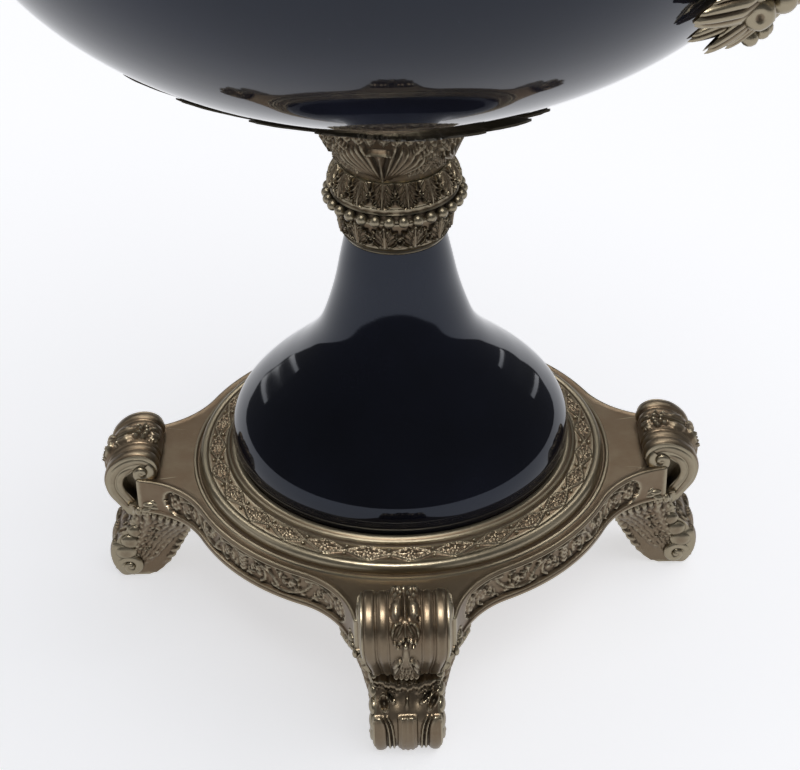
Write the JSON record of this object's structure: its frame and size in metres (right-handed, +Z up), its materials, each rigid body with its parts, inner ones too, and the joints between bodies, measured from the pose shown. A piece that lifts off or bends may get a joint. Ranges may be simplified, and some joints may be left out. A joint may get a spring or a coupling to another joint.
{
  "type": "footed bowl",
  "caption": "Wide footed porcelain bowl in antique bronze mounts: leaf calyx, beaded neck collar, domed pedestal and a four-armed plinth on scroll feet.",
  "frame": {"origin": "on the ground, in the middle of the four feet, on the axis of the bowl", "axes": "+Z up along the bowl's axis; the front foot points along -Y and the right foot along +X"},
  "size_m": [0.376, 0.376, 0.4146],
  "materials": {
    "porcelain": "deep navy, almost black, high gloss glaze",
    "bronze": "antique bronze: rubbed pale brass high points over a brown patina in the hollows"
  },
  "bodies": {
    "root": {"plinth": "bronze", "foot_front": "bronze", "foot_right": "bronze", "foot_back": "bronze", "foot_left": "bronze", "pedestal": "porcelain", "neck_collar": "bronze", "leaf_calyx": "bronze", "bowl": "porcelain", "rim_band": "bronze", "handle_right": "bronze", "handle_left": "bronze"}
  },
  "joints": []
}
